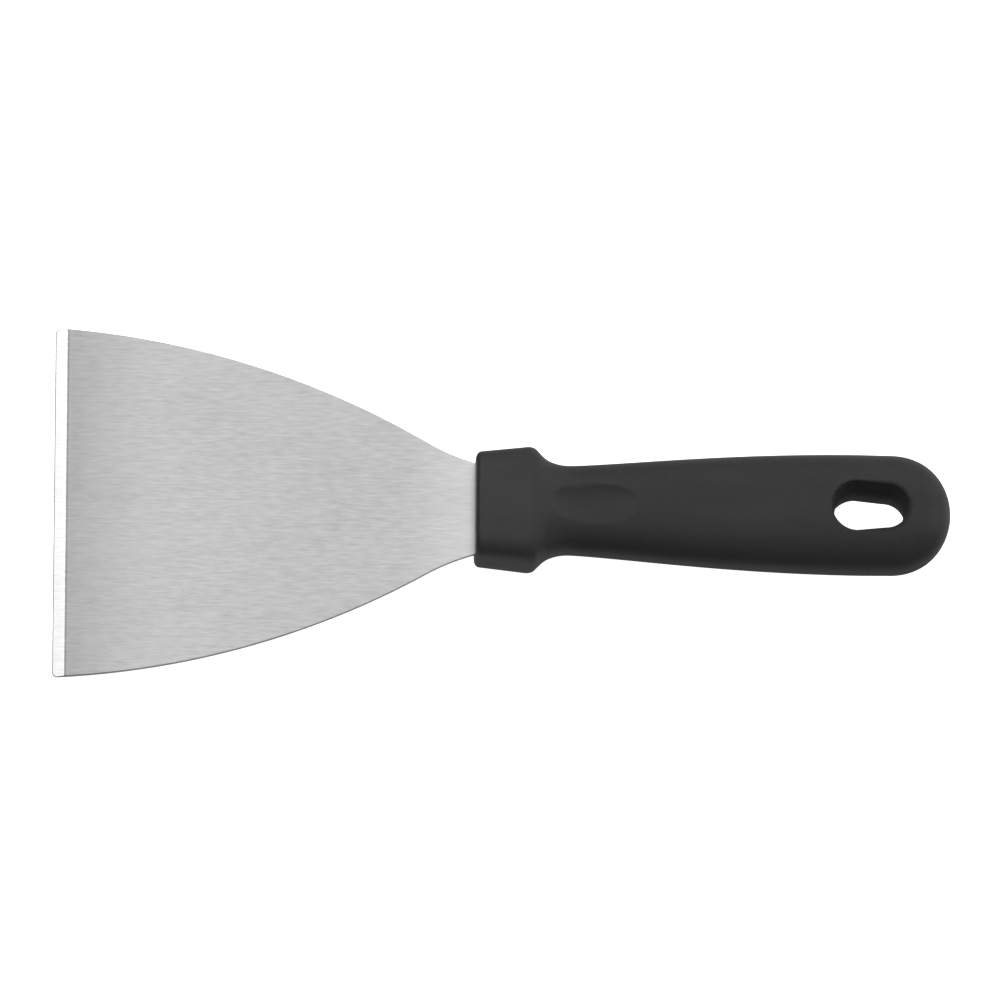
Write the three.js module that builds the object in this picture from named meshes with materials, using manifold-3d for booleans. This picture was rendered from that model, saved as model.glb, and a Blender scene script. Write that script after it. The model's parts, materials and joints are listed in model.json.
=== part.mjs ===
// Bench scraper: a stainless sheet blade whose tang is moulded into a polypropylene handle.
// Millimetres, +Z up. In the tool's own frame X runs from the scraping edge to the butt, Y is
// across the blade, and Z = 0 is the middle of the sheet. The tool is then pitched until it lies
// as it does on a bench: on its scraping edge and on the underside of its bolster.
import * as THREE from "three";
import { LoftGeometry } from "three/addons/geometries/LoftGeometry.js";
import { mergeVertices } from "three/addons/utils/BufferGeometryUtils.js";
import Module from "manifold-3d";

const wasm = await Module();
wasm.setup();

const QUARTER = Math.PI / 2;

// Blade: a sheet with two convex sides that turn into a hollow neck
const SHEET = 1.5;
const EDGE_HALF_WIDTH = 50.2;
const EDGE_CORNER_R = 1.4;
const BEVEL_LENGTH = 3.4;
const BEVEL_LAND = 0.35;
const SIDE_R = 231.7;
const SIDE_CENTRE_X = -13.7;
const NECK_R = 60.8;
const NECK_X = 133.8;

// Tang, with two holes that the plastic fills
const TANG_END_X = 202;
const TANG_END_HALF_WIDTH = 7.5;
const TANG_CORNER_R = 4;
const KEY_HOLE_R = 4;
const KEY_HOLES_X = [158, 184];

// Handle seen from above
const FRONT_X = 116.7;
const FRONT_HALF_WIDTH = 15.1;
const FRONT_CORNER_R = 1.6;
const CREST_X = 132.1;
const CREST_HALF_WIDTH = 16.4;
const CREST_ROUND = 1.8;
const WAIST_X = 142.5;
const WAIST_HALF_WIDTH = 12.15;
const SWELL_X = 224;
const SWELL_HALF_WIDTH = 16.6;
const BUTT_X = 248.6;
const BUTT_R = 16.5;
const BUTT_TIP_ANGLE = 0.06;

// Handle seen from the side
const FRONT_HALF_THICKNESS = 10.4;
const CREST_HALF_THICKNESS = 11.6;
const WAIST_HALF_THICKNESS = 9.2;
const SWELL_HALF_THICKNESS = 10.9;
const BUTT_ROUND = 9;
const DIP_END_X = 146;

// How square the handle's sections are, where 2 is an ellipse, and where they change
const BOLSTER_SQUARENESS = 5.5;
const GRIP_SQUARENESS = 2.9;
const ROUNDING_START_X = 130.5;
const ROUNDING_END_X = 137;
const SECTION_POINTS = 56;

// Hang slot and thumb dimple
const SLOT_FRONT_X = 222.4;
const SLOT_FRONT_R = 7;
const SLOT_BACK_X = 230.3;
const SLOT_BACK_R = 6.2;
const SLOT_DRAFT = 1;
const DIMPLE_X = 150.7;
const DIMPLE_LENGTH = 20.8;
const DIMPLE_WIDTH = 12.4;
const DIMPLE_DEPTH = 1.2;
const DIMPLE_SPHERE_R = 3;

const CLEARANCE = 0.3;
const STEEL = { color: 0xc4c4c4, metalness: 1, roughness: 0.35 };
const PLASTIC = { color: 0x1a1a1b, metalness: 0, roughness: 0.55 };

// A geometry as a manifold solid.
function solid(geometry) {
  const bare = new THREE.BufferGeometry();
  bare.setAttribute("position", geometry.attributes.position);
  bare.setIndex(geometry.index);
  const merged = mergeVertices(bare, 1e-3);
  return new wasm.Manifold(
    new wasm.Mesh({
      numProp: 3,
      vertProperties: merged.attributes.position.array,
      triVerts: new Uint32Array(merged.index.array),
    }),
  );
}

// A named mesh from a manifold solid.
function piece(name, made, look) {
  const { vertProperties, triVerts } = made.getMesh();
  const geometry = new THREE.BufferGeometry();
  geometry.setAttribute("position", new THREE.BufferAttribute(vertProperties, 3));
  geometry.setIndex(new THREE.BufferAttribute(triVerts, 1));
  geometry.computeVertexNormals();
  const mesh = new THREE.Mesh(geometry, new THREE.MeshStandardMaterial(look));
  mesh.name = name;
  return mesh;
}

// A flat outline made into a plate whose middle is at Z = 0.
function plate(shape, thickness) {
  const options = { depth: thickness, bevelEnabled: false, curveSegments: 12 };
  return new THREE.ExtrudeGeometry(shape, options).translate(0, 0, -thickness / 2);
}

// How many straight steps stand for an arc: at least three, and one for every 5 mm.
function arcSteps(arc) {
  return 3 + Math.round(arc.getLength() / 5);
}

// The lower side of the blade and tang seen from above, from the scraping edge to the tang's end.
function traceSide(shape, grow) {
  const centreY = EDGE_HALF_WIDTH - Math.sqrt(SIDE_R ** 2 - SIDE_CENTRE_X ** 2);
  const cornerTurn = Math.asin((EDGE_CORNER_R - SIDE_CENTRE_X) / (SIDE_R - EDGE_CORNER_R));
  const cornerY = centreY + (SIDE_R - EDGE_CORNER_R) * Math.cos(cornerTurn);
  const neckTurn = Math.asin((NECK_X - SIDE_CENTRE_X) / (SIDE_R + NECK_R));
  const neckY = centreY + (SIDE_R + NECK_R) * Math.cos(neckTurn);
  const endX = TANG_END_X - TANG_CORNER_R;
  const endY = TANG_END_HALF_WIDTH - TANG_CORNER_R;
  const endR = TANG_CORNER_R + grow;
  shape.absarc(EDGE_CORNER_R, -cornerY, EDGE_CORNER_R + grow, -2 * QUARTER, cornerTurn - QUARTER);
  shape.absarc(SIDE_CENTRE_X, -centreY, SIDE_R + grow, cornerTurn - QUARTER, neckTurn - QUARTER);
  shape.absarc(NECK_X, -neckY, NECK_R - grow, QUARTER + neckTurn, QUARTER, true);
  shape.absarc(endX, -endY, endR, -QUARTER, 0);
}

// The whole outline of the blade and tang, grown all round by a clearance.
function bladeShape(grow) {
  const lower = new THREE.Path();
  traceSide(lower, grow);
  const points = lower.curves.flatMap((arc) => arc.getPoints(arcSteps(arc)));
  const upper = points.map(({ x, y }) => new THREE.Vector2(x, -y)).reverse();
  const shape = new THREE.Shape([...points, ...upper]);
  for (const x of KEY_HOLES_X) {
    const hole = new THREE.Path();
    hole.absarc(x, 0, KEY_HOLE_R - grow, 0, 2 * Math.PI, true);
    shape.holes.push(hole);
  }
  return shape;
}

// The wedge that the grinding wheel takes off the top face along the scraping edge.
function bevelCutter() {
  const fall = (SHEET - BEVEL_LAND) / BEVEL_LENGTH;
  const wedge = new THREE.Shape();
  wedge.moveTo(BEVEL_LENGTH, SHEET / 2);
  wedge.lineTo(BEVEL_LENGTH, SHEET);
  wedge.lineTo(-1, SHEET);
  wedge.lineTo(-1, SHEET / 2 - (BEVEL_LENGTH + 1) * fall);
  wedge.closePath();
  return plate(wedge, 2 * EDGE_HALF_WIDTH + 10).rotateX(QUARTER);
}

function makeBlade() {
  const sheet = solid(plate(bladeShape(0), SHEET));
  return piece("blade", sheet.subtract(solid(bevelCutter())), STEEL);
}

// Half of the handle's outline seen from above, from the front corner to the butt.
function handleOutline() {
  const fall = CREST_HALF_WIDTH - WAIST_HALF_WIDTH;
  const side = new THREE.Path();
  side.moveTo(FRONT_X + FRONT_CORNER_R, FRONT_HALF_WIDTH);
  side.lineTo(CREST_X - CREST_ROUND / 2, CREST_HALF_WIDTH);
  side.quadraticCurveTo(
    CREST_X + CREST_ROUND / 2,
    CREST_HALF_WIDTH + 0.1,
    CREST_X + CREST_ROUND,
    CREST_HALF_WIDTH - CREST_ROUND / 2,
  );
  side.bezierCurveTo(
    CREST_X + 2 * CREST_ROUND,
    CREST_HALF_WIDTH - 0.6 * fall,
    WAIST_X - 4.5,
    WAIST_HALF_WIDTH,
    WAIST_X,
    WAIST_HALF_WIDTH,
  );
  side.bezierCurveTo(
    WAIST_X + 16,
    WAIST_HALF_WIDTH + 0.7,
    SWELL_X - 38,
    SWELL_HALF_WIDTH,
    SWELL_X,
    SWELL_HALF_WIDTH,
  );
  side.absarc(BUTT_X - BUTT_R, 0, BUTT_R, QUARTER, BUTT_TIP_ANGLE, true);
  return side.getPoints(10);
}

// Half the thickness of the handle along its length.
function halfThickness(x) {
  const { lerp, smoothstep } = THREE.MathUtils;
  const flare = (x - FRONT_X) / (CREST_X - FRONT_X);
  const bolster = lerp(FRONT_HALF_THICKNESS, CREST_HALF_THICKNESS, Math.min(flare, 1));
  const swell = smoothstep(x, WAIST_X, SWELL_X);
  const grip = lerp(WAIST_HALF_THICKNESS, SWELL_HALF_THICKNESS, swell);
  const round = Math.max(0, 1 - (BUTT_X - x) / BUTT_ROUND);
  return lerp(bolster, grip, smoothstep(x, CREST_X, DIP_END_X)) * Math.sqrt(1 - round ** 2);
}

// One section of the handle, a superellipse.
function section(x, halfWidth, halfHeight) {
  const { lerp, smoothstep } = THREE.MathUtils;
  const rounding = smoothstep(x, ROUNDING_START_X, ROUNDING_END_X);
  const squareness = lerp(BOLSTER_SQUARENESS, GRIP_SQUARENESS, rounding);
  return Array.from({ length: SECTION_POINTS }, (_, i) => {
    const across = Math.cos((4 * QUARTER * i) / SECTION_POINTS);
    const up = Math.sin((4 * QUARTER * i) / SECTION_POINTS);
    const sum = Math.abs(across) ** squareness + Math.abs(up) ** squareness;
    const reach = sum ** (-1 / squareness);
    return new THREE.Vector3(x, halfWidth * across * reach, halfHeight * up * reach);
  });
}

// The handle's skin: a rounded front corner, then sections strung along the outline.
function handleSkin() {
  const corner = [0, 0.25, 0.5, 0.75].map((part) => {
    const inset = FRONT_CORNER_R * (1 - Math.sin(part * QUARTER));
    const x = FRONT_X + FRONT_CORNER_R * (1 - Math.cos(part * QUARTER));
    return section(x, FRONT_HALF_WIDTH - inset, halfThickness(x) - inset);
  });
  const body = handleOutline().map(({ x, y }) => section(x, y, halfThickness(x)));
  return new LoftGeometry([...corner, ...body], { capStart: true, capEnd: true });
}

// The hang slot at one height: two round ends of different size and their common tangents.
function slotOutline(shrink, z) {
  const turn = Math.asin((SLOT_FRONT_R - SLOT_BACK_R) / (SLOT_BACK_X - SLOT_FRONT_X));
  const slot = new THREE.Path();
  slot.absarc(SLOT_BACK_X, 0, SLOT_BACK_R - shrink, turn - QUARTER, QUARTER - turn);
  slot.absarc(SLOT_FRONT_X, 0, SLOT_FRONT_R - shrink, QUARTER - turn, 3 * QUARTER + turn);
  return slot.getPoints(10).map(({ x, y }) => new THREE.Vector3(x, y, z));
}

// The slot drafted from both faces, so that it is narrowest in the middle. It overshoots each face.
function slotCutter() {
  const outlines = [-2, 0, 2].map((side) =>
    slotOutline(SLOT_DRAFT * (1 - Math.abs(side)), side * SWELL_HALF_THICKNESS),
  );
  return new LoftGeometry(outlines, { capStart: true, capEnd: true });
}

// The shallow oval that the thumb rests in, as the flattened ball that presses it.
function dimpleCutter() {
  const lift = 1 - DIMPLE_DEPTH / DIMPLE_SPHERE_R;
  const opening = Math.sqrt(1 - lift ** 2);
  const ball = new THREE.SphereGeometry(1, 40, 20);
  ball.scale(DIMPLE_LENGTH / 2 / opening, DIMPLE_WIDTH / 2 / opening, DIMPLE_SPHERE_R);
  const top = halfThickness(DIMPLE_X) + lift * DIMPLE_SPHERE_R;
  return ball.translate(DIMPLE_X, 0, top);
}

function makeHandle() {
  const pocket = plate(bladeShape(CLEARANCE), SHEET + 2 * CLEARANCE);
  const body = [pocket, slotCutter(), dimpleCutter()].reduce(
    (rest, cutter) => rest.subtract(solid(cutter)),
    solid(handleSkin()),
  );
  return piece("handle", body, PLASTIC);
}

// The pitch at which the handle's lowest point is level with the scraping edge.
function restPitch(handle) {
  const { position } = handle.geometry.attributes;
  let pitch = 0;
  for (let i = 0; i < position.count; i += 1) {
    pitch = Math.max(pitch, Math.atan2(-SHEET / 2 - position.getZ(i), position.getX(i)));
  }
  return pitch;
}

// The tool as it lies on a bench, with the middle of its footprint at the origin.
function layDown(tool, pitch) {
  tool.rotation.y = -pitch;
  const box = new THREE.Box3().setFromObject(tool, true);
  const centre = box.getCenter(new THREE.Vector3());
  tool.position.set(-centre.x, -centre.y, -box.min.z);
  return new THREE.Group().add(tool);
}

const handle = makeHandle();
const tool = new THREE.Group().add(makeBlade(), handle);
export default layDown(tool, restPitch(handle));
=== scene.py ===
"""A bench scraper lying on a pale bench: brushed stainless blade, black moulded handle.

Each piece is built in the tool's own frame, in metres: X runs from the scraping edge to the butt,
Y across the blade, and Z = 0 is the middle of the sheet. TOOL turns that frame to how it lies.
"""
import json
import math

import bmesh
import bpy
import numpy as np
from mathutils import Matrix, Vector


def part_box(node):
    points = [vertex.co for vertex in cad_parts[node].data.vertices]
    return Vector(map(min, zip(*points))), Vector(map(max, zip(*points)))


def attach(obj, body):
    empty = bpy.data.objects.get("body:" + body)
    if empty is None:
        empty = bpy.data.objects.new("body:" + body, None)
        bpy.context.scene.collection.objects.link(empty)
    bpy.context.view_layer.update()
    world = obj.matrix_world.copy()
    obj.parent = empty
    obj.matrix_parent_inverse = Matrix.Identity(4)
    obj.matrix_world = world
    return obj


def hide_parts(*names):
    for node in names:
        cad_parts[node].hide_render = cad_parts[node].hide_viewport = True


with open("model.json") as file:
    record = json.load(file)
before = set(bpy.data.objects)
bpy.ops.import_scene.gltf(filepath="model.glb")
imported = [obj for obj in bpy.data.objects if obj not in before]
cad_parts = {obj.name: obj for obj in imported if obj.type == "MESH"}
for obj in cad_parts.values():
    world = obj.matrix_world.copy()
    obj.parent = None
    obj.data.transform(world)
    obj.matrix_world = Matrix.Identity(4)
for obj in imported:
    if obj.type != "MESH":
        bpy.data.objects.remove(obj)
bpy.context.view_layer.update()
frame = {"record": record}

MM = 0.001
QUARTER = math.pi / 2

# Blade
SHEET = 1.5 * MM
EDGE_HALF_WIDTH = 50.2 * MM
EDGE_CORNER_R = 1.4 * MM
BEVEL_LENGTH = 3.4 * MM
BEVEL_LAND = 0.35 * MM
BEVEL_BLEND = 0.28 * MM
SIDE_R = 231.7 * MM
SIDE_CENTRE_X = -13.7 * MM
NECK_START_X = 96 * MM
NECK_R = 60.8 * MM
NECK_X = 133.8 * MM
TANG_END_X = 202 * MM
TANG_END_HALF_WIDTH = 7.5 * MM
TANG_CORNER_R = 4 * MM
KEY_HOLE_R = 4 * MM
KEY_HOLES_X = (158 * MM, 184 * MM)
KEY_HOLE_POINTS = 32

# How the sheet's edges are softened: how far in and how far from its face each loop lies, in mm
TOP_EDGE = ((0.16, 0), (0.1, 0.02), (0.045, 0.06), (0, 0.14))
BACK_EDGE = ((0, 0.1), (0.03, 0.03), (0.1, 0))
THIN_EDGE_SPREAD = 1.6

# Handle seen from above
FRONT_X = 116.7 * MM
FRONT_HALF_WIDTH = 15.1 * MM
FRONT_CORNER_R = 1.6 * MM
CREST_X = 132.1 * MM
CREST_HALF_WIDTH = 16.4 * MM
CREST_ROUND = 1.8 * MM
WAIST_X = 142.5 * MM
WAIST_HALF_WIDTH = 12.15 * MM
SWELL_X = 224 * MM
SWELL_HALF_WIDTH = 16.6 * MM
BUTT_X = 248.6 * MM
BUTT_R = 16.5 * MM

# How the outline's curves leave the crest, pass the waist and reach the swell
CREST_LIFT = 0.1 * MM
CREST_FALL = 0.6
WAIST_PULL_FRONT = 4.5 * MM
WAIST_PULL_BACK = 16 * MM
WAIST_RISE = 0.7 * MM
SWELL_PULL = 38 * MM

# Handle seen from the side
FRONT_HALF_THICKNESS = 10.4 * MM
CREST_HALF_THICKNESS = 11.6 * MM
WAIST_HALF_THICKNESS = 9.2 * MM
SWELL_HALF_THICKNESS = 10.9 * MM
BUTT_ROUND = 9 * MM
DIP_END_X = 146 * MM

# How square the handle's sections are, where 2 is an ellipse, and where they change
ROUNDING_START_X = 130.5 * MM
ROUNDING_END_X = 137 * MM
BOLSTER_SQUARENESS = 5.5
GRIP_SQUARENESS = 2.9

# Hang slot and thumb dimple
SLOT_FRONT_X = 222.4 * MM
SLOT_FRONT_R = 7 * MM
SLOT_BACK_X = 230.3 * MM
SLOT_BACK_R = 6.2 * MM
SLOT_FILLET = 0.55 * MM
SLOT_DRAFT = 1.0 * MM
DIMPLE_X = 150.7 * MM
DIMPLE_LENGTH = 20.8 * MM
DIMPLE_WIDTH = 12.4 * MM
DIMPLE_DEPTH = 1.2 * MM
DIMPLE_SPHERE_R = 3 * MM
DIMPLE_FRONT_BLEND = 0.6 * MM
DIMPLE_BACK_BLEND = 0.12 * MM

# Mouth and pocket that hold the tang
MOULD_GAP = 0.08 * MM
MOUTH_LIP = 0.2 * MM
MOUTH_ROUND = 0.06 * MM
MOUTH_SQUARENESS = 60

# Steel: the sizes of its grains, its mean tone, what the brushing and the grinding add to it, and its
# painted light and shade: paler at the neck, darker towards the bevel, a dark line past the bevel and a
# brighter bevel
STREAK_SIZE = (4.2 * MM, 0.62 * MM, 4.2 * MM)
HAIR_SIZE = (26 * MM, 0.7 * MM, 26 * MM)
HAIR_SHARE = 0.28
CLOUD_SIZE = (34 * MM, 18 * MM, 30 * MM)
STEEL_TONE = 0.565
CLOUD_TONE = 0.01
STREAK_TONE = 0.066
STREAK_CALM = 0.6
# Painted light: the steel's colour grows paler towards the handle, standing in for a brighter
# reflection there
NECK_PAINTED_LIGHT = 0.13
# Painted shade: over this band the steel's colour darkens towards the bevel, standing in for a dimmer
# reflection; the streaks also calm across it
PAINTED_SHADE_BAND = 32 * MM
PAINTED_SHADE_TONE = -0.155
PAINTED_SHADE_FALL = 1.6
# Painted shade: a thin dark line in the steel's colour just past the bevel, where the edge reflects
# darker
BEVEL_LINE_SHADE = -0.17
BEVEL_LINE_OFFSET = 0.12 * MM
BEVEL_LINE_REACH = (0.1 * MM, 0.42 * MM)
GROUND_FADE = (BEVEL_LENGTH - 0.25 * MM, BEVEL_LENGTH - 0.1 * MM)
# Painted highlight: the bevel's colour is made brighter than the steel's; its polish, below, is the
# real finish
BEVEL_PAINTED_HIGHLIGHT = 0.3
GROUND_POLISH = 0.08
STEEL_ROUGHNESS = (0.38, 0.28)
STEEL_ANISOTROPY = 0.75

# Plastic: the sizes of its grains, its tones, painted light on the bolster and painted shade on the
# grip, and how rough it is
PEBBLE_SIZE = (0.5 * MM, 0.5 * MM, 0.5 * MM)
FLOW_SIZE = (30 * MM, 9 * MM, 9 * MM)
PLASTIC_TONE = (0.0125, 0.0165)
FLOW_TONE = 0.001
# Painted light and shade: the plastic is paler on the bolster and darker along the grip, for how the
# light falls on them
BOLSTER_PAINTED_LIGHT = 0.002
GRIP_PAINTED_SHADE = -0.005
PLASTIC_ROUGHNESS = (0.56, 0.48)
SLOT_ROUGHNESS = 0.25
PLASTIC_IOR = 1.47

# Noise mostly lies between these two values
NOISE_LOW = 0.3
NOISE_HIGH = 0.7

# View, with the camera's tilt, lean and roll in the tool's own frame
CAMERA_TILT = math.radians(16)
CAMERA_LEAN = math.radians(2.0)
CAMERA_ROLL = math.radians(0.35)
CAMERA_DISTANCE = 7.0
VIEW_WIDTH = 277.0 * MM
AIM_RIGHT = 123.54 * MM
AIM_UP = 0.7 * MM

# Bench and room: each side of the room has a direction, where its light starts, and its strength
MOTTLE_SIZE = (60 * MM, 60 * MM, 60 * MM)
FLOOR_TONE = (0.9, 0.92)
FLOOR_GLOW = 0.95
FLOOR_REACH = 6.0
FLOOR_SAG = 0.05 * MM
ROOM_GLOW = 0.18
ROOM_SIDES = (
    ((0, 0, -1), 0.35, 0.2),
    ((0.6, 0.8, 0), 0.2, 0.75),
)

# Each softbox: name, direction from the tool, distance, width and height, radiance
SOFTBOXES = (
    ("overhead_softbox", (0.12, 0.36, 0.92), 0.9, (0.95, 1.3), 0.75),
    ("left_softbox", (-0.5, 0.34, 0.82), 0.9, (0.42, 1.0), 1.35),
    ("edge_softbox", (-0.68, 0.28, 0.68), 1.0, (0.36, 0.8), 1.15),
    ("right_softbox", (0.85, 0.15, 0.5), 1.0, (0.6, 0.8), 0.8),
    ("front_softbox", (0, -0.62, 0.78), 1.0, (1.2, 0.5), 0.35),
    ("corner_softbox", (0.63, -0.68, 0.37), 1.0, (0.9, 0.5), 0.55),
)

# The handle's skin is a grid: points round a section, how near the butt's tip the last section
# lies, and the part of the grid that the slot replaces
AROUND = 192
TIP_TURN = math.radians(1.2)
WINDOW_FIRST = 30
WINDOW_LAST = 66
WINDOW_START_X = 212 * MM
WINDOW_END_X = 240.2 * MM


def lerp(a, b, t):
    return a + (b - a) * t


def smoothstep(x, low, high):
    t = np.clip((x - low) / (high - low), 0, 1)
    return t * t * (3 - 2 * t)


def tool_matrix():
    """The pitch comes from the blade face's mount, and the place from the blade's own box."""
    face = next(m for m in frame["record"]["mounts"] if m["name"] == "blade_face")
    pitch = math.atan2(-face["axis"][0], face["axis"][2])
    low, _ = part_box("blade")
    edge_top = SHEET / 2 - BEVEL_LAND
    place = Vector((low.x - edge_top * math.sin(pitch), 0, SHEET / 2 * math.cos(pitch)))
    return Matrix.Translation(place) @ Matrix.Rotation(-pitch, 4, "Y")


TOOL = tool_matrix()


def add_piece(name, verts, faces, material, node):
    """A smooth-shaded mesh, laid down from the tool's frame, that stands for a CAD node."""
    mesh = bpy.data.meshes.new(name)
    mesh.from_pydata([TOOL @ Vector(v) for v in verts], [], faces)
    made = bmesh.new()
    made.from_mesh(mesh)
    bmesh.ops.remove_doubles(made, verts=made.verts, dist=1e-7)
    bmesh.ops.recalc_face_normals(made, faces=made.faces)
    for face in made.faces:
        face.smooth = True
    made.to_mesh(mesh)
    made.free()
    mesh.materials.append(material)
    piece = bpy.data.objects.new(name, mesh)
    bpy.context.scene.collection.objects.link(piece)
    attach(piece, "root")
    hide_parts(node)
    return piece


# ---------------------------------------------------------------- blade


def blade_centres():
    """Y of the middles of the blade's side, corner and neck arcs, and the turns where they join."""
    side_y = EDGE_HALF_WIDTH - math.sqrt(SIDE_R**2 - SIDE_CENTRE_X**2)
    corner_turn = math.asin((EDGE_CORNER_R - SIDE_CENTRE_X) / (SIDE_R - EDGE_CORNER_R))
    corner_y = side_y + (SIDE_R - EDGE_CORNER_R) * math.cos(corner_turn)
    neck_turn = math.asin((NECK_X - SIDE_CENTRE_X) / (SIDE_R + NECK_R))
    neck_y = side_y + (SIDE_R + NECK_R) * math.cos(neck_turn)
    return side_y, corner_turn, corner_y, neck_turn, neck_y


def blade_half_width(x):
    """Half the blade's width past the rounded corner, as far as the tang's end corners."""
    side_y, _, _, neck_turn, neck_y = blade_centres()
    join = SIDE_CENTRE_X + SIDE_R * math.sin(neck_turn)
    if x <= join:
        return side_y + math.sqrt(SIDE_R**2 - (x - SIDE_CENTRE_X) ** 2)
    if x <= NECK_X:
        return neck_y - math.sqrt(NECK_R**2 - (x - NECK_X) ** 2)
    taper = (x - NECK_X) / (TANG_END_X - TANG_CORNER_R - NECK_X)
    return lerp(neck_y - NECK_R, TANG_END_HALF_WIDTH, taper)


def blade_outline():
    """The blade's outline, anticlockwise from the -Y end of the scraping edge."""
    _, corner_turn, corner_y, _, _ = blade_centres()
    half = []
    for turn in np.linspace(0, QUARTER + corner_turn, 11):
        x = EDGE_CORNER_R * (1 - math.cos(turn))
        half.append((x, corner_y + EDGE_CORNER_R * math.sin(turn)))
    blend = (BEVEL_LENGTH - BEVEL_BLEND, BEVEL_LENGTH, BEVEL_LENGTH + BEVEL_BLEND)
    first = EDGE_CORNER_R + EDGE_CORNER_R * math.sin(corner_turn)
    runs = [np.linspace(first, blend[0], 5)[1:], blend[1:], np.linspace(blend[2], NECK_X, 96)[1:]]
    half += [(x, blade_half_width(x)) for x in np.concatenate(runs)]
    end_x = TANG_END_X - TANG_CORNER_R
    for turn in np.linspace(0, QUARTER, 9):
        y = TANG_END_HALF_WIDTH - TANG_CORNER_R * (1 - math.cos(turn))
        half.append((end_x + TANG_CORNER_R * math.sin(turn), y))
    lower = [(x, -y) for x, y in half]
    return np.array(lower + half[::-1])


def outward(outline):
    """Unit vectors in the plane that point out of a closed anticlockwise outline."""
    along = np.roll(outline, -1, 0) - np.roll(outline, 1, 0)
    normal = np.stack([along[:, 1], -along[:, 0]], 1)
    return normal / np.linalg.norm(normal, axis=1, keepdims=True)


def face_height(x):
    """The blade's top face along X: the ground bevel, a small blend, then the flat sheet."""
    slope = (SHEET - BEVEL_LAND) / BEVEL_LENGTH
    polish_and_highlight = -SHEET / 2 + BEVEL_LAND + slope * np.maximum(x, 0)
    reach = (x - BEVEL_LENGTH) / BEVEL_BLEND
    blended = SHEET / 2 - slope * BEVEL_BLEND * (1 - np.clip(reach, -1, 1)) ** 2 / 4
    return np.where(x < BEVEL_LENGTH - BEVEL_BLEND, polish_and_highlight, blended)


def blade_rings(outline):
    """Closed loops from the top face round the softened edge to the back face."""
    normal = outward(outline)
    share = (face_height(outline[:, 0]) + SHEET / 2) / SHEET
    inset_share = lerp(THIN_EDGE_SPREAD, 1, share)[:, None]
    drop_share = np.maximum(share, 0.5)
    rings = []
    for inset, drop in TOP_EDGE:
        flat = outline - normal * inset * MM * inset_share
        rings.append(np.column_stack([flat, face_height(flat[:, 0]) - drop * MM * drop_share]))
    for inset, rise in BACK_EDGE:
        flat = outline - normal * inset * MM * inset_share
        rings.append(np.column_stack([flat, rise * MM * drop_share - SHEET / 2]))
    return rings


def hole_ring(x, height):
    turn = 2 * math.pi * np.arange(KEY_HOLE_POINTS) / KEY_HOLE_POINTS
    level = np.full(KEY_HOLE_POINTS, height)
    return np.stack([x + KEY_HOLE_R * np.cos(turn), KEY_HOLE_R * np.sin(turn), level], 1)


def loop_edges(made, loop):
    """The edges of a closed loop of vertices, made where they don't exist yet."""
    pairs = zip(loop, loop[1:] + loop[:1])
    return [made.edges.get(pair) or made.edges.new(pair) for pair in pairs]


def join_loops(made, upper, lower):
    """Quads between two closed loops of the same length."""
    for i in range(len(upper)):
        j = (i + 1) % len(upper)
        made.faces.new((upper[i], lower[i], lower[j], upper[j]))


def add_bevel(made, top, outline):
    """The ground bevel and its blend, in strips across the blade. Gives the flat face's rim."""
    count = len(outline)
    side = outline[: count // 2, 0]
    lines = [int(np.argmin(np.abs(side - (BEVEL_LENGTH + k * BEVEL_BLEND)))) for k in (-1, 0, 1)]
    for a, b in zip(lines, lines[1:]):
        made.faces.new((top[a], top[b], top[count - 1 - b], top[count - 1 - a]))
    made.faces.new(top[: lines[0] + 1] + top[count - 1 - lines[0]:])
    return top[lines[2]: count - lines[2]]


def add_flat_faces(made, rims):
    """The blade's two flat faces, pierced by the tang's keying holes, and the holes' walls."""
    heights = (SHEET / 2, -SHEET / 2)
    holes = [[[made.verts.new(v) for v in hole_ring(x, z)] for x in KEY_HOLES_X] for z in heights]
    for rim, face_holes in zip(rims, holes):
        edges = loop_edges(made, rim)
        for hole in face_holes:
            edges += loop_edges(made, hole)
        bmesh.ops.triangle_fill(made, use_beauty=True, use_dissolve=False, edges=edges)
    for upper, lower in zip(*holes):
        join_loops(made, lower, upper)


def build_blade(material):
    outline = blade_outline()
    made = bmesh.new()
    loops = [[made.verts.new(v) for v in ring] for ring in blade_rings(outline)]
    for upper, lower in zip(loops, loops[1:]):
        join_loops(made, upper, lower)
    flat_rim = add_bevel(made, loops[0], outline)
    add_flat_faces(made, (flat_rim, loops[-1]))
    made.verts.index_update()
    verts = [v.co.copy() for v in made.verts]
    faces = [tuple(v.index for v in face.verts) for face in made.faces]
    made.free()
    blade = add_piece("blade_steel", verts, faces, material, "blade")
    weighted = blade.modifiers.new("even_faces", "WEIGHTED_NORMAL")
    weighted.weight = 100
    return blade


# ---------------------------------------------------------------- handle


def bezier(a, b, c, d, count):
    t = np.linspace(0, 1, count)[:, None]
    a, b, c, d = (np.array(p) for p in (a, b, c, d))
    return (1 - t) ** 3 * a + 3 * (1 - t) ** 2 * t * b + 3 * (1 - t) * t**2 * c + t**3 * d


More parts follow.
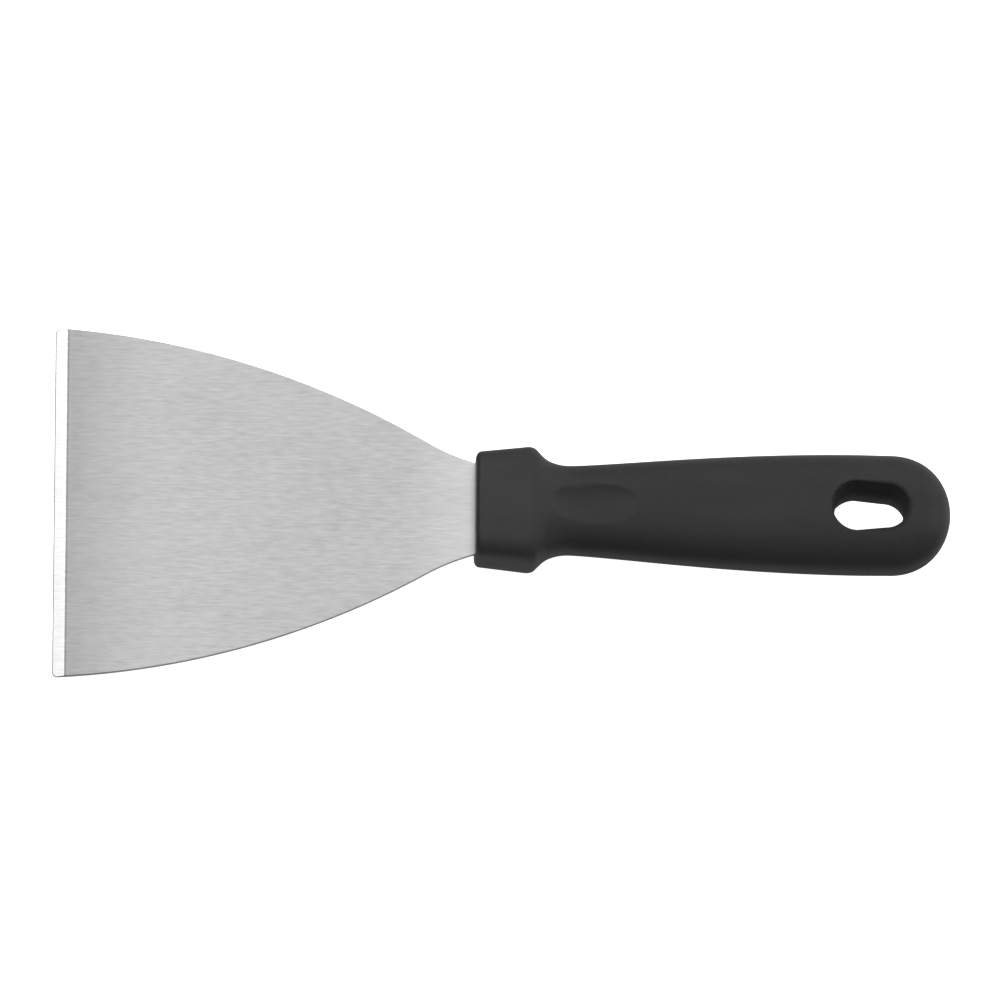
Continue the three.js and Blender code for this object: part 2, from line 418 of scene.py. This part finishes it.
def handle_profile():
    """Half the handle's outline seen from above, finely sampled, for interpolation along X."""
    fall = CREST_HALF_WIDTH - WAIST_HALF_WIDTH
    start = (FRONT_X + FRONT_CORNER_R, FRONT_HALF_WIDTH)
    brow = (CREST_X - CREST_ROUND / 2, CREST_HALF_WIDTH)
    peak = np.array((CREST_X + CREST_ROUND / 2, CREST_HALF_WIDTH + CREST_LIFT))
    drop = np.array((CREST_X + CREST_ROUND, CREST_HALF_WIDTH - CREST_ROUND / 2))
    waist = (WAIST_X, WAIST_HALF_WIDTH)
    crest = bezier(brow, lerp(np.array(brow), peak, 2 / 3), lerp(drop, peak, 2 / 3), drop, 60)
    flank = bezier(
        drop,
        (CREST_X + 2 * CREST_ROUND, CREST_HALF_WIDTH - CREST_FALL * fall),
        (WAIST_X - WAIST_PULL_FRONT, WAIST_HALF_WIDTH),
        waist,
        200,
    )
    grip = bezier(
        waist,
        (WAIST_X + WAIST_PULL_BACK, WAIST_HALF_WIDTH + WAIST_RISE),
        (SWELL_X - SWELL_PULL, SWELL_HALF_WIDTH),
        (SWELL_X, SWELL_HALF_WIDTH),
        800,
    )
    turn = np.linspace(QUARTER, 0, 400)
    butt = np.stack([BUTT_X - BUTT_R + BUTT_R * np.cos(turn), BUTT_R * np.sin(turn)], 1)
    return np.concatenate([[start], crest, flank[1:], grip[1:], butt])


PROFILE = handle_profile()


def half_thickness(x):
    flare = np.minimum((x - FRONT_X) / (CREST_X - FRONT_X), 1)
    bolster = lerp(FRONT_HALF_THICKNESS, CREST_HALF_THICKNESS, flare)
    grip = lerp(WAIST_HALF_THICKNESS, SWELL_HALF_THICKNESS, smoothstep(x, WAIST_X, SWELL_X))
    rounded = np.maximum(0, 1 - (BUTT_X - x) / BUTT_ROUND)
    body = lerp(bolster, grip, smoothstep(x, CREST_X, DIP_END_X))
    return body * np.sqrt(1 - np.minimum(rounded, 1) ** 2)


def squareness(x):
    rounding = smoothstep(x, ROUNDING_START_X, ROUNDING_END_X)
    return lerp(BOLSTER_SQUARENESS, GRIP_SQUARENESS, rounding)


def stations():
    """X, half width and half height of each section of the skin, from the face to the butt."""
    turn = np.linspace(0, QUARTER, 9)[:-1]
    inset = FRONT_CORNER_R * (1 - np.sin(turn))
    front = FRONT_X + FRONT_CORNER_R * (1 - np.cos(turn))
    rows = list(zip(front, FRONT_HALF_WIDTH - inset, half_thickness(front) - inset))
    crest_end = CREST_X + CREST_ROUND
    spans = [
        np.linspace(FRONT_X + FRONT_CORNER_R, CREST_X - CREST_ROUND / 2, 20)[:-1],
        np.linspace(CREST_X - CREST_ROUND / 2, crest_end, 13)[:-1],
        np.linspace(crest_end, WAIST_X, 19)[:-1],
        np.linspace(WAIST_X, DIMPLE_X + DIMPLE_LENGTH, 90)[:-1],
        np.linspace(DIMPLE_X + DIMPLE_LENGTH, WINDOW_START_X, 60)[:-1],
        np.linspace(WINDOW_START_X, WINDOW_END_X, 47),
    ]
    centre = BUTT_X - BUTT_R
    turn = np.linspace(math.acos((WINDOW_END_X - centre) / BUTT_R), TIP_TURN, 34)[1:]
    spans.append(centre + BUTT_R * np.cos(turn))
    x = np.concatenate(spans)
    width = np.interp(x, PROFILE[:, 0], PROFILE[:, 1])
    return np.array(rows + list(zip(x, width, half_thickness(x))))


def ring_points(x, half_width, half_height, power):
    turn = 2 * math.pi * np.arange(AROUND) / AROUND
    across, up = np.cos(turn), np.sin(turn)
    reach = (np.abs(across) ** power + np.abs(up) ** power) ** (-1 / power)
    return np.stack([np.full(AROUND, x), half_width * across * reach, half_height * up * reach], 1)


def smooth_min(a, b, reach):
    """The lower of two heights, blended where they come within reach of each other."""
    share = np.clip(0.5 + (b - a) / (2 * reach), 0, 1)
    return lerp(b, a, share) - reach * share * (1 - share)


def press_dimple(points):
    """The thumb dimple, a flattened ball whose rim is soft in front and crisper at the back."""
    lift = 1 - DIMPLE_DEPTH / DIMPLE_SPHERE_R
    opening = math.sqrt(1 - lift**2)
    reach = np.hypot(
        (points[:, 0] - DIMPLE_X) / (DIMPLE_LENGTH / 2 / opening),
        points[:, 1] / (DIMPLE_WIDTH / 2 / opening),
    )
    top = half_thickness(DIMPLE_X) + lift * DIMPLE_SPHERE_R
    ball = top - DIMPLE_SPHERE_R * np.sqrt(1 - np.minimum(reach, 1) ** 2)
    height = points[:, 2]
    near = (height > 0) & (reach < 1)
    back = smoothstep(points[:, 0], DIMPLE_X - DIMPLE_LENGTH / 2, DIMPLE_X + DIMPLE_LENGTH / 3)
    blend = lerp(DIMPLE_FRONT_BLEND, DIMPLE_BACK_BLEND, back)
    points[:, 2] = np.where(near, smooth_min(height, ball, blend), height)
    return points


def slot_radius(x):
    return np.interp(x, (SLOT_FRONT_X, SLOT_BACK_X), (SLOT_FRONT_R, SLOT_BACK_R))


def skin_height(x, y):
    """How far the skin stands above the sheet's middle plane at a point near the slot."""
    half_width = np.interp(x, PROFILE[:, 0], PROFILE[:, 1])
    across = np.minimum(np.abs(y) / half_width, 1)
    return half_thickness(x) * (1 - across**GRIP_SQUARENESS) ** (1 / GRIP_SQUARENESS)


def slot_rings(boundary):
    """Loops of half the slot: from the window's boundary in to the rim, then down the wall."""
    foot = np.clip(boundary[:, 0], SLOT_FRONT_X, SLOT_BACK_X)
    away = boundary[:, :2] - np.stack([foot, np.zeros(len(foot))], 1)
    away /= np.linalg.norm(away, axis=1, keepdims=True)
    radius = slot_radius(foot)[:, None]
    middle = np.stack([foot, np.zeros(len(foot))], 1)
    rim = middle + away * (radius + SLOT_FILLET)
    rings = []
    for part in (0.2, 0.4, 0.6, 0.78, 0.9, 1.0):
        flat = lerp(boundary[:, :2], rim, part)
        rings.append(np.column_stack([flat, skin_height(flat[:, 0], flat[:, 1])]))
    rim_height = skin_height(rim[:, 0], rim[:, 1])
    for turn in np.linspace(0, QUARTER, 8)[1:]:
        flat = middle + away * (radius + SLOT_FILLET * (1 - math.sin(turn)))
        rings.append(np.column_stack([flat, rim_height - SLOT_FILLET * (1 - math.cos(turn))]))
    for part in (0.25, 0.5, 0.75, 1.0):
        flat = middle + away * (radius - SLOT_DRAFT * part)
        rings.append(np.column_stack([flat, (rim_height - SLOT_FILLET) * (1 - part)]))
    return rings


def band(faces, outer, inner):
    """Quads between two closed loops of vertex numbers."""
    count = len(outer)
    for i in range(count):
        j = (i + 1) % count
        faces.append((outer[i], outer[j], inner[j], inner[i]))


def add_loop(verts, ring):
    start = len(verts)
    verts.extend(ring)
    return list(range(start, len(verts)))


def window_loop(first, last, low, high):
    """Vertex numbers round the slot's window in the skin grid, in order."""
    at = [(row, low) for row in range(first, last)]
    at += [(last, col) for col in range(low, high)]
    at += [(row, high) for row in range(last, first, -1)]
    at += [(first, col) for col in range(high, low, -1)]
    return [row * AROUND + col for row, col in at]


def add_skin(verts, faces, rows):
    """The outer skin with a window above and below for the slot, and its closed butt."""
    for x, half_width, half_height in rows:
        ring = ring_points(x, half_width, half_height, squareness(x))
        verts.extend(press_dimple(ring))
    first = int(np.argmin(np.abs(rows[:, 0] - WINDOW_START_X)))
    last = int(np.argmin(np.abs(rows[:, 0] - WINDOW_END_X)))
    half = AROUND // 2
    for row in range(len(rows) - 1):
        for col in range(AROUND):
            cut = WINDOW_FIRST <= col % half < WINDOW_LAST and first <= row < last
            if not cut:
                nxt = (col + 1) % AROUND
                a, b = row * AROUND, (row + 1) * AROUND
                faces.append((a + col, a + nxt, b + nxt, b + col))
    tip = len(verts)
    verts.append(np.array((BUTT_X, 0, 0)))
    end = (len(rows) - 1) * AROUND
    for col in range(AROUND):
        faces.append((end + col, end + (col + 1) % AROUND, tip))
    return first, last


def add_slot(verts, faces, first, last):
    """Both halves of the hang slot, which meet in the middle of its wall."""
    upper = window_loop(first, last, WINDOW_FIRST, WINDOW_LAST)
    lower = [n - n % AROUND + (AROUND - n % AROUND) % AROUND for n in upper]
    for outer, side in ((upper, 1), (lower, -1)):
        boundary = np.array([verts[i] for i in upper])
        for ring in slot_rings(boundary):
            inner = add_loop(verts, ring * np.array((1, 1, side)))
            band(faces, outer, inner)
            outer = inner


def pocket_sections():
    """X, half width and half height of the pocket, from its rounded mouth to the tang's end."""
    width = blade_half_width(FRONT_X) + MOULD_GAP
    height = SHEET / 2 + MOULD_GAP
    rows = [(FRONT_X + MOUTH_ROUND, width + MOUTH_ROUND, height + MOUTH_ROUND)]
    rows.append((FRONT_X + MOUTH_LIP, width, height))
    corner_x = TANG_END_X - TANG_CORNER_R
    for x in np.linspace(FRONT_X + 2 * MM, corner_x, 24):
        rows.append((x, blade_half_width(x) + MOULD_GAP, height))
    for turn in np.linspace(0, QUARTER, 7)[1:]:
        width = TANG_END_HALF_WIDTH - TANG_CORNER_R * (1 - math.cos(turn)) + MOULD_GAP
        rows.append((corner_x + (TANG_CORNER_R + MOULD_GAP) * math.sin(turn), width, height))
    return rows


def add_mouth(verts, faces):
    """The bolster's face, the mouth that grips the blade, and the pocket round the tang."""
    face = np.array(verts[:AROUND])
    width = blade_half_width(FRONT_X) + MOULD_GAP + MOUTH_LIP
    height = SHEET / 2 + MOULD_GAP + MOUTH_LIP
    mouth = ring_points(FRONT_X, width, height, MOUTH_SQUARENESS)
    rings = [lerp(face, mouth, part) for part in (0.25, 0.5, 0.75, 0.9, 1.0)]
    rings += [ring_points(*section, MOUTH_SQUARENESS) for section in pocket_sections()]
    outer = list(range(AROUND))
    for ring in rings:
        inner = add_loop(verts, ring)
        band(faces, inner, outer)
        outer = inner
    faces.append(tuple(outer))


def build_handle(material):
    rows = stations()
    verts, faces = [], []
    first, last = add_skin(verts, faces, rows)
    add_slot(verts, faces, first, last)
    add_mouth(verts, faces)
    return add_piece("handle_moulding", verts, faces, material, "handle")


# ---------------------------------------------------------------- materials


class Graph:
    """A short way to build a material's nodes."""

    def __init__(self, name):
        self.material = bpy.data.materials.new(name)
        self.material.use_nodes = True
        self.tree = self.material.node_tree
        self.shader = self.tree.nodes["Principled BSDF"]
        turn = TOOL.to_3x3().inverted()
        world = self.tree.nodes.new("ShaderNodeTexCoord").outputs["Object"]
        self.place = self.put("ShaderNodeMapping", {
            "Vector": world, "Location": -(turn @ TOOL.to_translation()), "Rotation": turn.to_euler(),
        }).outputs["Vector"]

    def put(self, kind, inputs=None, **settings):
        node = self.tree.nodes.new(kind)
        for key, value in settings.items():
            setattr(node, key, value)
        for key, value in (inputs or {}).items():
            if isinstance(value, bpy.types.NodeSocket):
                self.tree.links.new(value, node.inputs[key])
            else:
                node.inputs[key].default_value = value
        return node

    def noise(self, size, detail=2.0, rough=0.5, warp=0.0):
        """Noise whose grains have the given size in metres along X, Y and Z."""
        stretch = tuple(1 / s for s in size)
        scaled = self.put("ShaderNodeMapping", {"Vector": self.place, "Scale": stretch})
        made = self.put("ShaderNodeTexNoise", {
            "Vector": scaled.outputs["Vector"], "Scale": 1.0, "Detail": detail,
            "Roughness": rough, "Distortion": warp,
        })
        return made.outputs["Fac"]

    def math(self, operation, a, b):
        return self.put("ShaderNodeMath", {0: a, 1: b}, operation=operation).outputs["Value"]

    def span(self, value, low, high, to_low, to_high):
        """Maps a value from one range to another and clamps it."""
        made = self.put("ShaderNodeMapRange", {
            "Value": value, "From Min": low, "From Max": high, "To Min": to_low, "To Max": to_high,
        })
        return made.outputs["Result"]

    def vary(self, noise, to_low, to_high):
        return self.span(noise, NOISE_LOW, NOISE_HIGH, to_low, to_high)

    def along(self):
        """The distance from the scraping edge."""
        return self.put("ShaderNodeSeparateXYZ", {"Vector": self.place}).outputs["X"]

    def grey(self, value):
        made = self.put("ShaderNodeCombineColor", {"Red": value, "Green": value, "Blue": value})
        return made.outputs["Color"]

    def bump(self, height, strength, distance):
        made = self.put("ShaderNodeBump", {
            "Height": height, "Strength": strength, "Distance": distance,
        })
        self.tree.links.new(made.outputs["Normal"], self.shader.inputs["Normal"])

    def feed(self, socket, value):
        if isinstance(value, bpy.types.NodeSocket):
            self.tree.links.new(value, self.shader.inputs[socket])
        else:
            self.shader.inputs[socket].default_value = value


def steel_grain(g):
    """Wavy streaks brushed along the tool, with longer hairlines among them."""
    fine = g.noise(STREAK_SIZE, warp=0.25)
    hair = g.noise(HAIR_SIZE, rough=0.55)
    return g.math("ADD", g.math("MULTIPLY", fine, 1 - HAIR_SHARE), g.math("MULTIPLY", hair, HAIR_SHARE))


def steel_tone(g, along, grain, cloud):
    """Streaked grey, with painted light making it paler at the neck, painted shade making it darker
    towards the bevel, and a painted dark line just past the bevel.
    """
    calm_edge = g.span(along, 0, PAINTED_SHADE_BAND, STREAK_CALM, 1)
    calm = g.math("MULTIPLY", calm_edge, g.span(along, NECK_START_X, FRONT_X, 1, STREAK_CALM))
    streaks = g.math("MULTIPLY", g.vary(grain, -STREAK_TONE, STREAK_TONE), calm)
    tone = g.math("ADD", streaks, g.vary(cloud, STEEL_TONE - CLOUD_TONE, STEEL_TONE + CLOUD_TONE))
    # Painted light: paler towards the handle's mouth
    tone = g.math("ADD", tone, g.span(along, NECK_START_X, FRONT_X, 0, NECK_PAINTED_LIGHT))
    # Painted shade: darker towards the bevel
    painted_shade = g.math("POWER", g.span(along, BEVEL_LENGTH, PAINTED_SHADE_BAND, 1, 0), PAINTED_SHADE_FALL)
    tone = g.math("ADD", tone, g.math("MULTIPLY", painted_shade, PAINTED_SHADE_TONE))
    # Painted shade: a thin dark line just past the bevel
    past_bevel = g.math("ABSOLUTE", g.math("SUBTRACT", along, BEVEL_LENGTH + BEVEL_LINE_OFFSET), 0)
    return g.math("ADD", tone, g.span(past_bevel, *BEVEL_LINE_REACH, BEVEL_LINE_SHADE, 0))


def brushed_steel():
    """Brushed stainless steel whose ground bevel gets a painted highlight in its colour. Its highlights
    stretch across the tool.
    """
    g = Graph("brushed_steel")
    grain = steel_grain(g)
    cloud = g.noise(CLOUD_SIZE)
    along = g.along()
    polish_and_highlight = g.span(along, *GROUND_FADE, 1, 0)
    tone = steel_tone(g, along, grain, cloud)
    # Painted highlight: the bevel's colour is raised
    g.feed("Base Color", g.grey(g.math("ADD", tone, g.math("MULTIPLY", polish_and_highlight, BEVEL_PAINTED_HIGHLIGHT))))
    g.feed("Metallic", 1.0)
    rough = g.math("ADD", g.vary(grain, *STEEL_ROUGHNESS), g.vary(cloud, 0.02, -0.02))
    g.feed("Roughness", g.math("SUBTRACT", rough, g.math("MULTIPLY", polish_and_highlight, GROUND_POLISH)))
    g.feed("Anisotropic", STEEL_ANISOTROPY)
    g.feed("Tangent", g.put("ShaderNodeCombineXYZ", {"Y": 1.0}).outputs["Vector"])
    g.bump(grain, strength=0.25, distance=0.01 * MM)
    return g.material


def slot_mask(g, value):
    """A value inside the hang slot that fades to zero across its rim."""
    place = g.put("ShaderNodeSeparateXYZ", {"Vector": g.place}).outputs
    from_middle = g.math("SUBTRACT", place["X"], (SLOT_FRONT_X + SLOT_BACK_X) / 2)
    past_end = g.math("SUBTRACT", g.math("ABSOLUTE", from_middle, 0), (SLOT_BACK_X - SLOT_FRONT_X) / 2)
    past_end = g.math("POWER", g.math("MAXIMUM", past_end, 0), 2)
    away = g.math("SQRT", g.math("ADD", past_end, g.math("MULTIPLY", place["Y"], place["Y"])), 0)
    return g.span(away, SLOT_FRONT_R, SLOT_FRONT_R + SLOT_FILLET, value, 0)


def moulded_plastic():
    """Black polypropylene with a fine mould texture, painted light making it paler at the bolster,
    painted shade making it darker along the grip, and rougher in the slot.
    """
    g = Graph("moulded_plastic")
    pebble = g.noise(PEBBLE_SIZE, detail=3, rough=0.6)
    flow = g.noise(FLOW_SIZE, warp=0.4)
    tone = g.math("ADD", g.vary(pebble, *PLASTIC_TONE), g.vary(flow, -FLOW_TONE, FLOW_TONE))
    # Painted light on the bolster, painted shade along the grip
    tone = g.math("ADD", tone, g.span(g.along(), CREST_X, DIP_END_X, BOLSTER_PAINTED_LIGHT, GRIP_PAINTED_SHADE))
    g.feed("Base Color", g.grey(tone))
    rough = g.math("ADD", g.vary(pebble, *PLASTIC_ROUGHNESS), g.vary(flow, 0.03, -0.03))
    g.feed("Roughness", g.math("ADD", rough, slot_mask(g, SLOT_ROUGHNESS)))
    g.feed("IOR", PLASTIC_IOR)
    g.bump(pebble, strength=0.35, distance=0.02 * MM)
    return g.material


def bench_top():
    """A matte, faintly mottled pale surface that glows enough to stay white in the view."""
    g = Graph("bench_top")
    mottle = g.noise(MOTTLE_SIZE, detail=3)
    g.feed("Base Color", g.grey(g.vary(mottle, *FLOOR_TONE)))
    g.feed("Roughness", 0.8)
    g.feed("Specular IOR Level", 0.2)
    g.feed("Emission Color", (1, 1, 1, 1))
    g.feed("Emission Strength", FLOOR_GLOW)
    return g.material


# ---------------------------------------------------------------- studio


def build_floor():
    """A flat pale bench top, far larger than the view."""
    made = bmesh.new()
    steps = np.linspace(-FLOOR_REACH, FLOOR_REACH, 9)
    grid = [[made.verts.new((x, y, -FLOOR_SAG)) for y in steps] for x in steps]
    for i in range(len(steps) - 1):
        for j in range(len(steps) - 1):
            made.faces.new((grid[i][j], grid[i + 1][j], grid[i + 1][j + 1], grid[i][j + 1]))
    mesh = bpy.data.meshes.new("bench_floor")
    made.to_mesh(mesh)
    made.free()
    mesh.materials.append(bench_top())
    floor = bpy.data.objects.new("bench_floor", mesh)
    bpy.context.scene.collection.objects.link(floor)
    floor.visible_glossy = False


def view_axes():
    """The camera's right, up and back directions."""
    turn = TOOL.to_3x3()
    back = Vector((-math.sin(CAMERA_LEAN), -math.sin(CAMERA_TILT), math.cos(CAMERA_TILT)))
    back = turn @ back.normalized()
    level = (turn @ Vector((0, 1, 0))).cross(back).normalized()
    upright = back.cross(level)
    right = level * math.cos(CAMERA_ROLL) + upright * math.sin(CAMERA_ROLL)
    return right, back.cross(right), back


def place_camera():
    right, up, back = view_axes()
    aim = TOOL.to_translation() + right * AIM_RIGHT + up * AIM_UP
    data = bpy.data.cameras.new("camera")
    data.sensor_width = 36
    data.lens = data.sensor_width * CAMERA_DISTANCE / VIEW_WIDTH
    data.clip_start = 0.01
    data.clip_end = 20
    camera = bpy.data.objects.new("camera", data)
    axes = Matrix((right, up, back)).transposed().to_4x4()
    camera.matrix_world = Matrix.Translation(aim + back * CAMERA_DISTANCE) @ axes
    bpy.context.scene.collection.objects.link(camera)
    bpy.context.scene.camera = camera


def softbox(name, direction, distance, size, radiance):
    """A rectangular lamp of even radiance that faces the tool, with its width along X."""
    target = TOOL @ Vector((BUTT_X / 2, 0, 0))
    away = Vector(direction).normalized()
    width_axis = (Vector((1, 0, 0)) - away * away.x).normalized()
    data = bpy.data.lights.new(name, "AREA")
    data.shape = "RECTANGLE"
    data.size, data.size_y = size
    data.energy = radiance * size[0] * size[1] * math.pi
    lamp = bpy.data.objects.new(name, data)
    axes = Matrix((width_axis, away.cross(width_axis), away)).transposed().to_4x4()
    lamp.matrix_world = Matrix.Translation(target + away * distance) @ axes
    lamp.visible_camera = False
    bpy.context.scene.collection.objects.link(lamp)


def side_glow(tree, towards, start, strength):
    """Light from one side of the room, rising from the start of that side to its middle."""
    direction = tree.nodes.new("ShaderNodeTexCoord").outputs["Generated"]
    facing = tree.nodes.new("ShaderNodeVectorMath")
    facing.operation = "DOT_PRODUCT"
    facing.inputs[1].default_value = towards
    tree.links.new(direction, facing.inputs[0])
    glow = tree.nodes.new("ShaderNodeMapRange")
    tree.links.new(facing.outputs["Value"], glow.inputs["Value"])
    glow.inputs["From Min"].default_value = start
    glow.inputs["To Max"].default_value = strength
    return glow.outputs["Result"]


def build_world():
    """A dim room, paler behind the butt and paler straight below."""
    world = bpy.data.worlds.new("studio")
    world.use_nodes = True
    tree = world.node_tree
    total = None
    for towards, start, strength in ROOM_SIDES:
        add = tree.nodes.new("ShaderNodeMath")
        add.inputs[0].default_value = ROOM_GLOW
        if total:
            tree.links.new(total, add.inputs[0])
        tree.links.new(side_glow(tree, towards, start, strength), add.inputs[1])
        total = add.outputs["Value"]
    tree.links.new(total, tree.nodes["Background"].inputs["Strength"])
    tree.nodes["Background"].inputs["Color"].default_value = (1, 1, 1, 1)
    bpy.context.scene.world = world


def light_studio():
    build_world()
    for name, direction, distance, size, radiance in SOFTBOXES:
        softbox(name, direction, distance, size, radiance)


scene = bpy.context.scene
scene.view_settings.view_transform = "Standard"
build_blade(brushed_steel())
build_handle(moulded_plastic())
build_floor()
light_studio()
place_camera()
